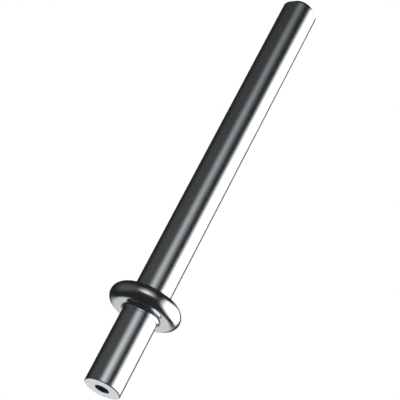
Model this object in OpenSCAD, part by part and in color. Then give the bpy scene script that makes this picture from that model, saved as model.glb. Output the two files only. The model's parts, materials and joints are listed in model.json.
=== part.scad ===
// Turned solder pin for a circuit board.
//
// One piece: a straight post, a round-edged collar that sits on the board, and a
// short shank below it with a blind hole in its end, so that the end can be
// riveted over under the board. The whole form is one revolve of a half section.
// The origin is at the centre of the collar's seat, and +Z runs up the post.

/* [Shank] */
// Diameter of the post and of the shank below the collar
shank_d = 1.0; // [0.9:0.05:1.2]
// Length of the post, from the top of the collar to its tip
post_length = 10.15; // [6:0.05:16]
// Length of the shank below the collar, through the board
stub_length = 2.25; // [2:0.05:4]

/* [Collar] */
// Outer diameter of the collar
collar_d = 2.0; // [1.9:0.05:2.6]
// Thickness of the collar, whose rim is a full round
collar_t = 0.5; // [0.3:0.05:0.5]
// Radius of the fillets between the collar and the shank
root_fillet = 0.09; // [0.04:0.01:0.1]

/* [Tip] */
// Axial length of the chamfer on the post's tip
tip_chamfer_l = 0.18; // [0.1:0.01:0.3]
// Radial depth of the chamfer on the post's tip
tip_chamfer_r = 0.17; // [0.1:0.01:0.3]

/* [Riveting hole] */
// Diameter of the blind hole in the shank's end
hole_d = 0.4; // [0.3:0.05:0.5]
// Depth of the hole's full diameter
hole_depth = 1.5; // [1:0.1:1.6]
// Included angle of the drill point at the hole's bottom
drill_angle = 118; // [90:2:140]
// Radius of the rounded edge round the shank's end
end_edge_r = 0.03; // [0.01:0.01:0.08]

/* [Hidden] */
$fn = 96;

shank_r = shank_d / 2;
collar_r = collar_d / 2;
hole_r = hole_d / 2;
// The full round's radius, and where its centre lies
rim_r = collar_t / 2;
rim_centre_r = collar_r - rim_r;
tip_z = collar_t + post_length;
drill_point_l = hole_r / tan(drill_angle / 2);
// How far a cutter runs past the surface that it cuts through
overrun = 0.1;

// Half section of the post and its chamfered tip, from the collar's seat upwards
module post_section() {
    polygon([
        [0, 0],
        [shank_r, 0],
        [shank_r, tip_z - tip_chamfer_l],
        [shank_r - tip_chamfer_r, tip_z],
        [0, tip_z],
    ]);
}

// Half section of the collar: flat faces and a rim that is half a circle
module collar_section() {
    square([rim_centre_r, collar_t]);
    translate([rim_centre_r, rim_r]) circle(r = rim_r);
}

// Half section of one root fillet on the collar's upper face
module fillet_section() {
    difference() {
        translate([shank_r, 0]) square(root_fillet);
        translate([shank_r + root_fillet, root_fillet]) circle(r = root_fillet);
    }
}

// Half section of the shank below the collar, with its end's edge rounded
module stub_section() {
    translate([0, -stub_length + end_edge_r]) square([shank_r, stub_length - end_edge_r]);
    translate([0, -stub_length]) square([shank_r - end_edge_r, end_edge_r]);
    translate([shank_r - end_edge_r, -stub_length + end_edge_r]) circle(r = end_edge_r);
}

// Half section of the blind hole with the cone that the drill leaves
module hole_section() {
    hole_end = -stub_length + hole_depth;
    polygon([
        [0, -stub_length - overrun],
        [hole_r, -stub_length - overrun],
        [hole_r, hole_end],
        [0, hole_end + drill_point_l],
    ]);
}

// The pin, turned from one rod and plated bright
module pin() {
    color("silver") rotate_extrude() difference() {
        union() {
            post_section();
            collar_section();
            translate([0, collar_t]) fillet_section();
            mirror([0, 1]) fillet_section();
            stub_section();
        }
        hole_section();
    }
}

pin();
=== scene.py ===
"""The solder pin's looks: a finely turned mesh, its plating, and a small photo studio round it.

Metres, in the part's own frame: +Z runs up the post, and z = 0 is the collar's seat.
"""

import json
import math

import bpy
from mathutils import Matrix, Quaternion, Vector


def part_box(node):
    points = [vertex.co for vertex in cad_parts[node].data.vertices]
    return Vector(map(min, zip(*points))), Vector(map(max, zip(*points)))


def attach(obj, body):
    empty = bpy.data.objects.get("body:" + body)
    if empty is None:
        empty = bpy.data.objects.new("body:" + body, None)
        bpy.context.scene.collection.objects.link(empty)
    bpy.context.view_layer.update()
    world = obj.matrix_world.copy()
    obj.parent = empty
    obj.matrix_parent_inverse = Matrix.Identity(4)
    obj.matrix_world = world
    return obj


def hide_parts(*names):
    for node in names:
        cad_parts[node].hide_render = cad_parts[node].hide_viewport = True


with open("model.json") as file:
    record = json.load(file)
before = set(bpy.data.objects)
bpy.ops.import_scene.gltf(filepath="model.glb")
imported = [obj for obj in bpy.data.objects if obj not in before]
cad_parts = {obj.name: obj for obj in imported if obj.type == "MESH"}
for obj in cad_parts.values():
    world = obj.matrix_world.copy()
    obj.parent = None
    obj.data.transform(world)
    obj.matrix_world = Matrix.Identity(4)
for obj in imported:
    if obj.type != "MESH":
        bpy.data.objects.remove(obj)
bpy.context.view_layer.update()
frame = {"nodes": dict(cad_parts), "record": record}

MM = 0.001


# ---------------------------------------------------------------- sizes, from the frame

MOUNTS = {m["name"]: m for m in frame["record"]["mounts"]}
# Farther out than this many shank radii, a point is clear of the collar's root fillets
CLEAR_OF_FILLET = 1.3


def mount_radius(name):
    return MOUNTS[name]["dims"]["r_mm"] * MM


def mount_length(name):
    return MOUNTS[name]["dims"]["length_mm"] * MM


def collar_faces(node):
    """Heights of the collar's two flat faces: the lowest and highest points well outside the shank."""
    inside = CLEAR_OF_FILLET * mount_radius("post")
    heights = [v.co.z for v in node.data.vertices if math.hypot(v.co.x, v.co.y) > inside]
    return min(heights), max(heights)


pin_low, pin_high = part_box("pin")
END_Z = pin_low.z
TIP_Z = pin_high.z
SHANK_R = mount_radius("post")
COLLAR_R = pin_high.x
SEAT_Z, COLLAR_TOP_Z = collar_faces(frame["nodes"]["pin"])
RIM_R = (COLLAR_TOP_Z - SEAT_Z) / 2
HOLE_R = mount_radius("rivet_hole")
HOLE_END_Z = END_Z + mount_length("rivet_hole")

# The post's plain wall starts above the root fillet and ends at the tip's chamfer
POST_MIDDLE_Z = MOUNTS["post"]["pos_m"][2]
POST_WALL = mount_length("post")
ROOT_FILLET = POST_MIDDLE_Z - POST_WALL / 2 - COLLAR_TOP_Z
TIP_CHAMFER_Z = POST_MIDDLE_Z + POST_WALL / 2
# What is left of the short shank below its root fillet and plain wall is its rounded edge
END_EDGE_R = SEAT_Z - ROOT_FILLET - mount_length("board_shank") - END_Z
# These two aren't in the frame, so they repeat part.scad
TIP_FLAT_R = 0.33 * MM
DRILL_HALF_ANGLE = math.radians(59)


def add_object(name, data):
    thing = bpy.data.objects.new(name, data)
    bpy.context.scene.collection.objects.link(thing)
    return thing


# ---------------------------------------------------------------- camera

# The photograph's camera, fitted to the pin's outline in it: below the pin's foot, looking up
AIM = Vector((-0.03, 0, 3.7)) * MM
DISTANCE = 41.58 * MM
ELEVATION = math.radians(-26.6)
ROLL = math.radians(27.74)
LENS_MM = 140.3
CLIP_START = 1 * MM
CLIP_END = 5000 * MM


def make_camera():
    data = bpy.data.cameras.new("camera")
    data.lens = LENS_MM
    data.clip_start = CLIP_START
    data.clip_end = CLIP_END
    camera = add_object("camera", data)
    back = Vector((0, -math.cos(ELEVATION), math.sin(ELEVATION)))
    camera.location = AIM + DISTANCE * back
    camera.rotation_mode = "QUATERNION"
    camera.rotation_quaternion = (-back).to_track_quat("-Z", "Y") @ Quaternion((0, 0, 1), ROLL)
    bpy.context.scene.camera = camera


# ---------------------------------------------------------------- the pin's outline

END_EDGE_STEPS = 8
FILLET_STEPS = 12
RIM_STEPS = 48


def line(start, end):
    """A straight stretch of the outline: (radius, height, normal radius, normal height) at each end."""
    dr, dz = end[0] - start[0], end[1] - start[1]
    length = math.hypot(dr, dz)
    normal = (dz / length, -dr / length)
    return [(*start, *normal), (*end, *normal)]


def arc(centre, radius, start, end, steps, hollow=False):
    """A round stretch of the outline, from one angle to the other in degrees; hollow is a fillet."""
    side = -1 if hollow else 1
    stretch = []
    for i in range(steps + 1):
        angle = math.radians(start + (end - start) * i / steps)
        c, s = math.cos(angle), math.sin(angle)
        stretch.append((centre[0] + radius * c, centre[1] + radius * s, side * c, side * s))
    return stretch


def pin_outline():
    """The turned form as three lists of stretches: outside, end face and hole."""
    drill_point = HOLE_R / math.tan(DRILL_HALF_ANGLE)
    rim_centre = (COLLAR_R - RIM_R, SEAT_Z + RIM_R)
    end_edge_centre = (SHANK_R - END_EDGE_R, END_Z + END_EDGE_R)
    fillet_r = SHANK_R + ROOT_FILLET
    low_root_z = SEAT_Z - ROOT_FILLET
    high_root_z = COLLAR_TOP_Z + ROOT_FILLET
    outside = [
        arc(end_edge_centre, END_EDGE_R, -90, 0, END_EDGE_STEPS),
        line((SHANK_R, END_Z + END_EDGE_R), (SHANK_R, low_root_z)),
        arc((fillet_r, low_root_z), ROOT_FILLET, 180, 90, FILLET_STEPS, hollow=True),
        line((fillet_r, SEAT_Z), (rim_centre[0], SEAT_Z)),
        arc(rim_centre, RIM_R, -90, 90, RIM_STEPS),
        line((rim_centre[0], COLLAR_TOP_Z), (fillet_r, COLLAR_TOP_Z)),
        arc((fillet_r, high_root_z), ROOT_FILLET, 270, 180, FILLET_STEPS, hollow=True),
        line((SHANK_R, high_root_z), (SHANK_R, TIP_CHAMFER_Z)),
        line((SHANK_R, TIP_CHAMFER_Z), (TIP_FLAT_R, TIP_Z)),
        line((TIP_FLAT_R, TIP_Z), (0, TIP_Z)),
    ]
    end_face = [line((HOLE_R, END_Z), (SHANK_R - END_EDGE_R, END_Z))]
    hole = [
        line((0, HOLE_END_Z + drill_point), (HOLE_R, HOLE_END_Z)),
        line((HOLE_R, HOLE_END_Z), (HOLE_R, END_Z)),
    ]
    return outside, end_face, hole


# ---------------------------------------------------------------- turning

TURN_STEPS = 192
# A point nearer to the axis than this lies on it
ON_AXIS = 1e-9
# Points whose coordinates agree to so many digits are one point
DIGITS = 9


def ring(radius, height, steps):
    """Points, or directions, at even steps round Z."""
    turns = [2 * math.pi * i / steps for i in range(steps)]
    return [(radius * math.cos(turn), radius * math.sin(turn), height) for turn in turns]


def revolve(name, stretches_by_material):
    """Turns the outline's stretches round Z into one closed mesh with exact normals."""
    starts, points, faces, normals, slots = {}, [], [], [], []

    def turned(radius, height, normal_r, normal_z):
        """An outline point at each step round: its number in the mesh, and its normal."""
        key = (round(radius, DIGITS), round(height, DIGITS))
        count = 1 if radius < ON_AXIS else TURN_STEPS
        if key not in starts:
            starts[key] = len(points)
            points.extend(ring(radius, height, count))
        numbers = [starts[key] + i % count for i in range(TURN_STEPS)]
        return list(zip(numbers, ring(normal_r, normal_z, TURN_STEPS)))

    def add_band(low, high, slot):
        """The faces between two neighbours of the outline; a point on the axis is one corner only."""
        for i in range(TURN_STEPS):
            j = (i + 1) % TURN_STEPS
            corners = {}
            for number, normal in (low[i], low[j], high[j], high[i]):
                corners.setdefault(number, normal)
            faces.append(list(corners))
            normals.extend(corners.values())
            slots.append(slot)

    for slot, stretches in enumerate(stretches_by_material):
        for stretch in stretches:
            for low, high in zip(stretch, stretch[1:]):
                add_band(turned(*low), turned(*high), slot)

    mesh = bpy.data.meshes.new(name)
    mesh.from_pydata(points, [], faces)
    mesh.polygons.foreach_set("material_index", slots)
    mesh.polygons.foreach_set("use_smooth", [True] * len(faces))
    mesh.normals_split_custom_set(normals)
    mesh.update()
    return add_object(name, mesh)


# ---------------------------------------------------------------- parts of materials

# A noise's value is seldom outside this range
NOISE_RANGE = (0.3, 0.7)
# A Wave texture of scale 1 has so many rings in one unit
RINGS_PER_SCALE = 20 / (2 * math.pi)


def new_material(name):
    material = bpy.data.materials.new(name)
    material.use_nodes = True
    nodes = material.node_tree.nodes
    nodes.clear()
    output = nodes.new("ShaderNodeOutputMaterial")
    return material, nodes, material.node_tree.links, output


def stretched_noise(nodes, links, per_mm, detail):
    """Noise with its own number of blotches per millimetre along each axis of the pin."""
    place = nodes.new("ShaderNodeTexCoord")
    scale = nodes.new("ShaderNodeMapping")
    scale.inputs["Scale"].default_value = [count / MM for count in per_mm]
    noise = nodes.new("ShaderNodeTexNoise")
    noise.inputs["Scale"].default_value = 1
    noise.inputs["Detail"].default_value = detail
    links.new(place.outputs["Object"], scale.inputs["Vector"])
    links.new(scale.outputs["Vector"], noise.inputs["Vector"])
    return noise.outputs["Fac"]


def turned_rings(nodes, links, per_mm, wobble, detail):
    """Fine rings round the pin's axis, as a facing tool leaves them."""
    place = nodes.new("ShaderNodeTexCoord")
    scale = nodes.new("ShaderNodeMapping")
    scale.inputs["Scale"].default_value = (1 / MM, 1 / MM, 0)
    rings = nodes.new("ShaderNodeTexWave")
    rings.wave_type = "RINGS"
    rings.rings_direction = "Z"
    rings.inputs["Scale"].default_value = per_mm / RINGS_PER_SCALE
    rings.inputs["Distortion"].default_value = wobble
    rings.inputs["Detail"].default_value = detail
    links.new(place.outputs["Object"], scale.inputs["Vector"])
    links.new(scale.outputs["Vector"], rings.inputs["Vector"])
    return rings.outputs["Fac"]


def spread(nodes, links, value, low, high, usual=NOISE_RANGE):
    """Maps a value's usual range to the one from low to high."""
    node = nodes.new("ShaderNodeMapRange")
    for name, number in (("From Min", usual[0]), ("From Max", usual[1]), ("To Min", low), ("To Max", high)):
        node.inputs[name].default_value = number
    links.new(value, node.inputs["Value"])
    return node.outputs["Result"]


def two_tones(nodes, links, value, dark, light):
    """The dark tone where the value is 0, and the light one where it is 1."""
    node = nodes.new("ShaderNodeMix")
    node.data_type = "RGBA"
    node.inputs["A"].default_value = (*dark, 1)
    node.inputs["B"].default_value = (*light, 1)
    links.new(value, node.inputs["Factor"])
    return node.outputs["Result"]


def bumps(nodes, links, value, height_mm, shader):
    node = nodes.new("ShaderNodeBump")
    node.inputs["Strength"].default_value = 1
    node.inputs["Distance"].default_value = height_mm * MM
    links.new(value, node.inputs["Height"])
    links.new(node.outputs["Normal"], shader.inputs["Normal"])


def metal_shader(nodes, links, output):
    shader = nodes.new("ShaderNodeBsdfPrincipled")
    shader.inputs["Metallic"].default_value = 1
    links.new(shader.outputs[0], output.inputs[0])
    return shader


def mixed(nodes, links, factor, first, second):
    """The first shader where the factor is 0, and the second where it is 1."""
    node = nodes.new("ShaderNodeMixShader")
    for socket, source in enumerate((factor, first, second)):
        links.new(source, node.inputs[socket])
    return node.outputs[0]


def seen_directly(nodes, links):
    """1 for what is seen by the camera, in a reflection or through glass, and 0 for light on the rest."""
    path = nodes.new("ShaderNodeLightPath")
    seen = path.outputs["Is Camera Ray"]
    for ray in ("Is Glossy Ray", "Is Transmission Ray"):
        either = nodes.new("ShaderNodeMath")
        either.operation = "MAXIMUM"
        links.new(seen, either.inputs[0])
        links.new(path.outputs[ray], either.inputs[1])
        seen = either.outputs[0]
    return seen


# ---------------------------------------------------------------- the pin's materials

DULL_ROUGHNESS = 0.7


def plating():
    """Bright nickel: a soft mirror with a clouded tone, faint rings left from turning and shallow waves."""
    material, nodes, links, output = new_material("bright_plating")
    shader = metal_shader(nodes, links, output)
    blotches = stretched_noise(nodes, links, per_mm=(1.1, 1.1, 0.7), detail=2)
    cloud = spread(nodes, links, blotches, low=0, high=1)
    tone = two_tones(nodes, links, cloud, dark=(0.690, 0.716, 0.722), light=(0.708, 0.730, 0.752))
    links.new(tone, shader.inputs["Base Color"])
    haze = stretched_noise(nodes, links, per_mm=(0.6, 0.6, 24), detail=3)
    links.new(spread(nodes, links, haze, low=0.158, high=0.218), shader.inputs["Roughness"])
    waves = stretched_noise(nodes, links, per_mm=(2.2, 2.2, 1.1), detail=1)
    bumps(nodes, links, waves, height_mm=0.004, shader=shader)
    return material


def faced_end():
    """The faced lower end: the same plating over the facing tool's rings, with painted shade: its tones are
    set darker than the plating's, so that its reflection of the white room comes out dimmer.
    """
    material, nodes, links, output = new_material("faced_end")
    shader = metal_shader(nodes, links, output)
    rings = turned_rings(nodes, links, per_mm=26, wobble=0.6, detail=2)
    # Painted shade: both tones lie below the plating's only to dim the end face's mirrored white room
    tone = two_tones(nodes, links, rings, dark=(0.53, 0.555, 0.575), light=(0.605, 0.63, 0.65))
    links.new(tone, shader.inputs["Base Color"])
    links.new(spread(nodes, links, rings, low=0.20, high=0.14), shader.inputs["Roughness"])
    bumps(nodes, links, rings, height_mm=0.0006, shader=shader)
    return material


def drilled_wall():
    """The hole's wall: plated but dull, with the drill's fine marks round it."""
    material, nodes, links, output = new_material("drilled_wall")
    shader = metal_shader(nodes, links, output)
    marks = stretched_noise(nodes, links, per_mm=(0.8, 0.8, 14), detail=1)
    tone = two_tones(nodes, links, marks, dark=(0.82, 0.88, 0.91), light=(0.90, 0.95, 0.98))
    links.new(tone, shader.inputs["Base Color"])
    shader.inputs["Roughness"].default_value = DULL_ROUGHNESS
    bumps(nodes, links, marks, height_mm=0.001, shader=shader)
    return material


# ---------------------------------------------------------------- what the reflector cards send back

# Directions are seen from the collar, in degrees: azimuth 0 is towards the camera, 90 to its right
# and 180 straight behind the pin. Two pairs together are two soft edges: where a light begins and
# where it is full, then where it begins to fade and where it has gone

# Dark cards all round, which are lighter in two patches on the left
DARK_LEVEL = 0.024
LEFT_LIFT = 0.056
LEFT_LIFT_EDGES = ((-134, -86), (-40, 26))
LEFT_LIFT_HEIGHTS = ((-40, 0), (20, 56))
LOW_LIFT = 0.042
LOW_LIFT_EDGES = ((-120, -90), (-65, -41))
LOW_LIFT_HEIGHTS = ((-46, -20), (0, 20))

# A soft fill beside the camera, which fades upwards
FILL_LEVEL = 1.88
FILL_CAP = 1.6
FILL_EDGES = ((-45.2, -10.9), (-23.9, 21.5))
FILL_FOOT = (-11.2, -3.2)
FILL_FADE_AT = 16.8
FILL_FADE = 10.9

# A large soft box on the right; each side's lean is in degrees of azimuth per degree of elevation
BOX_LEVEL = 1.83
BOX_LEFT = 41.7
BOX_LEFT_LEAN = 0.19
BOX_LEFT_LEAN_HIGH = 0.26
BOX_LEFT_HIGH_FROM = 22
BOX_LEFT_SOFT = 15.4
BOX_RIGHT = 135.5
BOX_RIGHT_LEAN = 1.1
BOX_RIGHT_LOW_FROM = -14
BOX_RIGHT_SOFT = 6.6
BOX_FOOT = -43
BOX_FOOT_AT = 83.5
BOX_FOOT_ROUND = 11.9
BOX_FOOT_SOFT = 13.6
BOX_TOP = (37.5, 55.5)

# The cards are cool where they are dim and faintly warm where they are bright
DIM_TINT = (0.97, 1.0, 1.01)
BRIGHT_TINT = (1.0, 0.99, 0.98)
BRIGHT_LEVELS = (0.5, 1.0)

# The white room shows through a gap low behind the pin, and through a narrow slit above that
GAP_EDGES = ((134, 166.8), (183.8, 216.6))
GAP_HEIGHTS = ((-80, -70), (-14, -4))
SLIT_EDGES = ((168, 174), (187, 193))
SLIT_HEIGHTS = ((-25, -15), (10, 20))


def smooth(low, high, x):
    """Rises softly from 0 at low to 1 at high."""
    t = min(max((x - low) / (high - low), 0), 1)
    return t * t * (3 - 2 * t)


def between(rise, fall, x):
    """1 between two soft edges and 0 outside them."""
    return smooth(*rise, x) * (1 - smooth(*fall, x))


def patch(edges, heights, azimuth, elevation):
    """1 inside a patch with four soft edges and 0 outside it."""
    return between(*edges, azimuth) * between(*heights, elevation)


def soft_edge(middle, soft):
    return middle - soft, middle + soft


def fill_light(azimuth, elevation):
    """The fill's brightness: level near its foot, and fading with height."""
    height = min(FILL_CAP, FILL_LEVEL / (1 + math.exp((elevation - FILL_FADE_AT) / FILL_FADE)))
    return between(*FILL_EDGES, azimuth) * smooth(*FILL_FOOT, elevation) * height


def soft_box(azimuth, elevation):
    """How much of the soft box lies in a direction; its sides lean and its foot is rounded."""
    left = BOX_LEFT + BOX_LEFT_LEAN * max(elevation, 0)
    left += BOX_LEFT_LEAN_HIGH * max(elevation - BOX_LEFT_HIGH_FROM, 0)
    right = BOX_RIGHT + BOX_RIGHT_LEAN * min(elevation - BOX_RIGHT_LOW_FROM, 0)
    foot = BOX_FOOT + (min(azimuth - BOX_FOOT_AT, 0) / BOX_FOOT_ROUND) ** 2
    across = between(soft_edge(left, BOX_LEFT_SOFT), soft_edge(right, BOX_RIGHT_SOFT), azimuth)
    return across * between(soft_edge(foot, BOX_FOOT_SOFT), BOX_TOP, elevation)


def reflected_level(azimuth, elevation):
    """(brightness, cover) of the cards in a direction; cover 0 leaves the white room showing."""
    level = DARK_LEVEL
    level += LEFT_LIFT * patch(LEFT_LIFT_EDGES, LEFT_LIFT_HEIGHTS, azimuth, elevation)
    level += LOW_LIFT * patch(LOW_LIFT_EDGES, LOW_LIFT_HEIGHTS, azimuth, elevation)
    level += fill_light(azimuth, elevation)
    level += (BOX_LEVEL - level) * soft_box(azimuth, elevation)
    # Counted on past 180 degrees, so that the gap isn't cut in two there
    behind = azimuth % 360
    gap = patch(GAP_EDGES, GAP_HEIGHTS, behind, elevation)
    slit = patch(SLIT_EDGES, SLIT_HEIGHTS, behind, elevation)
    return level, 1 - max(gap, slit)


# ---------------------------------------------------------------- the cards

DOME_R = 100 * MM
# A gap that doesn't show
HAIR = 0.001 * MM
# The floor and the cards on it lie a hair above the pin's end face, which mirrors the white room
FLOOR_Z = END_Z + HAIR
CARD_Z = FLOOR_Z + HAIR
# The floor's inner edge meets the rounded edge of the pin's end
FLOOR_HOLE_R = SHANK_R - 0.8 * END_EDGE_R
# Degrees between the cards' points, and how near they come to straight up and down
CARD_STEP = 2
CARD_END = 89.5


def card_point(azimuth, elevation, centre):
    """Where a direction from the collar meets the dome, or the cards on the floor."""
    a, e = math.radians(azimuth), math.radians(elevation)
    direction = Vector((math.sin(a) * math.cos(e), -math.cos(a) * math.cos(e), math.sin(e)))
    reach = DOME_R
    if direction.z < 0:
        reach = min(reach, (CARD_Z - centre.z) / direction.z)
    return centre + direction * reach


def card_material():
    """Shines with the mesh's level, in its tint; clear where the mesh's cover is 0."""
    material, nodes, links, output = new_material("reflector_cards")
    level = nodes.new("ShaderNodeAttribute")
    level.attribute_name = "level"
    cover = nodes.new("ShaderNodeAttribute")
    cover.attribute_name = "cover"
    bright = spread(nodes, links, level.outputs["Fac"], low=0, high=1, usual=BRIGHT_LEVELS)
    tint = two_tones(nodes, links, bright, DIM_TINT, BRIGHT_TINT)
    glow = nodes.new("ShaderNodeEmission")
    links.new(tint, glow.inputs["Color"])
    links.new(level.outputs["Fac"], glow.inputs["Strength"])
    clear = nodes.new("ShaderNodeBsdfTransparent")
    card = mixed(nodes, links, cover.outputs["Fac"], clear.outputs[0], glow.outputs[0])
    links.new(card, output.inputs[0])
    material.cycles.emission_sampling = "NONE"
    return material


def reflector_cards():
    """Cards that only reflections see: dark ones, a soft fill and a soft box, on a dome and the floor."""
    centre = Vector((0, 0, SEAT_Z + RIM_R))
    azimuths = range(-180, 181, CARD_STEP)
    elevations = [-CARD_END, *range(-90 + CARD_STEP, 90, CARD_STEP), CARD_END]
    points, faces, levels, covers = [], [], [], []
    for azimuth in azimuths:
        for elevation in elevations:
            points.append(card_point(azimuth, elevation, centre))
            level, cover = reflected_level(azimuth, elevation)
            levels.append(level)
            covers.append(cover)
    rows = len(elevations)
    for i in range(len(azimuths) - 1):
        for j in range(rows - 1):
            start = i * rows + j
            faces.append((start, start + rows, start + rows + 1, start + 1))
    mesh = bpy.data.meshes.new("reflector_cards")
    mesh.from_pydata(points, [], faces)
    for name, values in (("level", levels), ("cover", covers)):
        attribute = mesh.attributes.new(name, "FLOAT", "POINT")
        attribute.data.foreach_set("value", values)
    mesh.materials.append(card_material())

    cards = add_object("reflector_cards", mesh)
    cards.visible_camera = False
    cards.visible_diffuse = False
    cards.visible_transmission = False
    cards.visible_shadow = False


# ---------------------------------------------------------------- floor, room and lamp

FLOOR_R = 600 * MM
FLOOR_STEPS = 96
PAPER_TONE = 0.9
FADE_START = 25 * MM
FADE_END = 160 * MM
ROOM_LIGHT = 0.62
LAMP_PLACE = Vector((70, -30, 70)) * MM
LAMP_SIZE = 60 * MM
LAMP_WATTS = 0.045


def floor_paper():
    """Pale paper that fades far out into the white room, and that is clear from below."""
    material, nodes, links, output = new_material("floor")
    paper = nodes.new("ShaderNodeBsdfDiffuse")
    paper.inputs["Color"].default_value = (PAPER_TONE, PAPER_TONE, PAPER_TONE, 1)
    room = nodes.new("ShaderNodeEmission")
    clear = nodes.new("ShaderNodeBsdfTransparent")
    side = nodes.new("ShaderNodeNewGeometry")
    place = nodes.new("ShaderNodeTexCoord")
    reach = nodes.new("ShaderNodeVectorMath")
    reach.operation = "LENGTH"
    far = nodes.new("ShaderNodeMapRange")
    far.interpolation_type = "SMOOTHSTEP"
    far.inputs["From Min"].default_value = FADE_START
    far.inputs["From Max"].default_value = FADE_END
    fade = nodes.new("ShaderNodeMath")
    fade.operation = "MULTIPLY"
    links.new(place.outputs["Object"], reach.inputs[0])
    links.new(reach.outputs["Value"], far.inputs["Value"])
    links.new(far.outputs["Result"], fade.inputs[0])
    links.new(seen_directly(nodes, links), fade.inputs[1])
    above = mixed(nodes, links, fade.outputs[0], paper.outputs[0], room.outputs[0])
    both_sides = mixed(nodes, links, side.outputs["Backfacing"], above, clear.outputs[0])
    links.new(both_sides, output.inputs[0])
    return material


def pale_floor():
    """A pale floor at the pin's foot, seen from above only, so that it doesn't hide the pin from below."""
    points = ring(FLOOR_HOLE_R, FLOOR_Z, FLOOR_STEPS) + ring(FLOOR_R, FLOOR_Z, FLOOR_STEPS)
    faces = []
    for i in range(FLOOR_STEPS):
        j = (i + 1) % FLOOR_STEPS
        faces.append((i, FLOOR_STEPS + i, FLOOR_STEPS + j, j))
    mesh = bpy.data.meshes.new("floor")
    mesh.from_pydata(points, [], faces)
    mesh.materials.append(floor_paper())
    floor = add_object("floor", mesh)


def white_background(nodes, strength):
    node = nodes.new("ShaderNodeBackground")
    node.inputs["Color"].default_value = (1, 1, 1, 1)
    node.inputs["Strength"].default_value = strength
    return node.outputs[0]


def white_room():
    """White to the camera and in reflections, and plain soft light on everything else."""
    world = bpy.data.worlds.new("room")
    bpy.context.scene.world = world
    world.use_nodes = True
    nodes, links = world.node_tree.nodes, world.node_tree.links
    nodes.clear()
    output = nodes.new("ShaderNodeOutputWorld")
    light = white_background(nodes, ROOM_LIGHT)
    backdrop = white_background(nodes, 1)
    room = mixed(nodes, links, seen_directly(nodes, links), light, backdrop)
    links.new(room, output.inputs[0])


def key_lamp():
    """A soft lamp from the upper right, which gives the pin a soft shadow on the floor."""
    data = bpy.data.lights.new("key", "AREA")
    data.size = LAMP_SIZE
    data.energy = LAMP_WATTS
    lamp = add_object("key", data)
    lamp.location = LAMP_PLACE
    lamp.rotation_mode = "QUATERNION"
    lamp.rotation_quaternion = (-LAMP_PLACE).to_track_quat("-Z", "Y")
    lamp.visible_glossy = False


# ---------------------------------------------------------------- the scene

make_camera()

pin = revolve("turned_pin", pin_outline())
for material in (plating(), faced_end(), drilled_wall()):
    pin.data.materials.append(material)
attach(pin, "root")
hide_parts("pin")

white_room()
key_lamp()
pale_floor()
reflector_cards()

bpy.context.scene.view_settings.view_transform = "Standard"
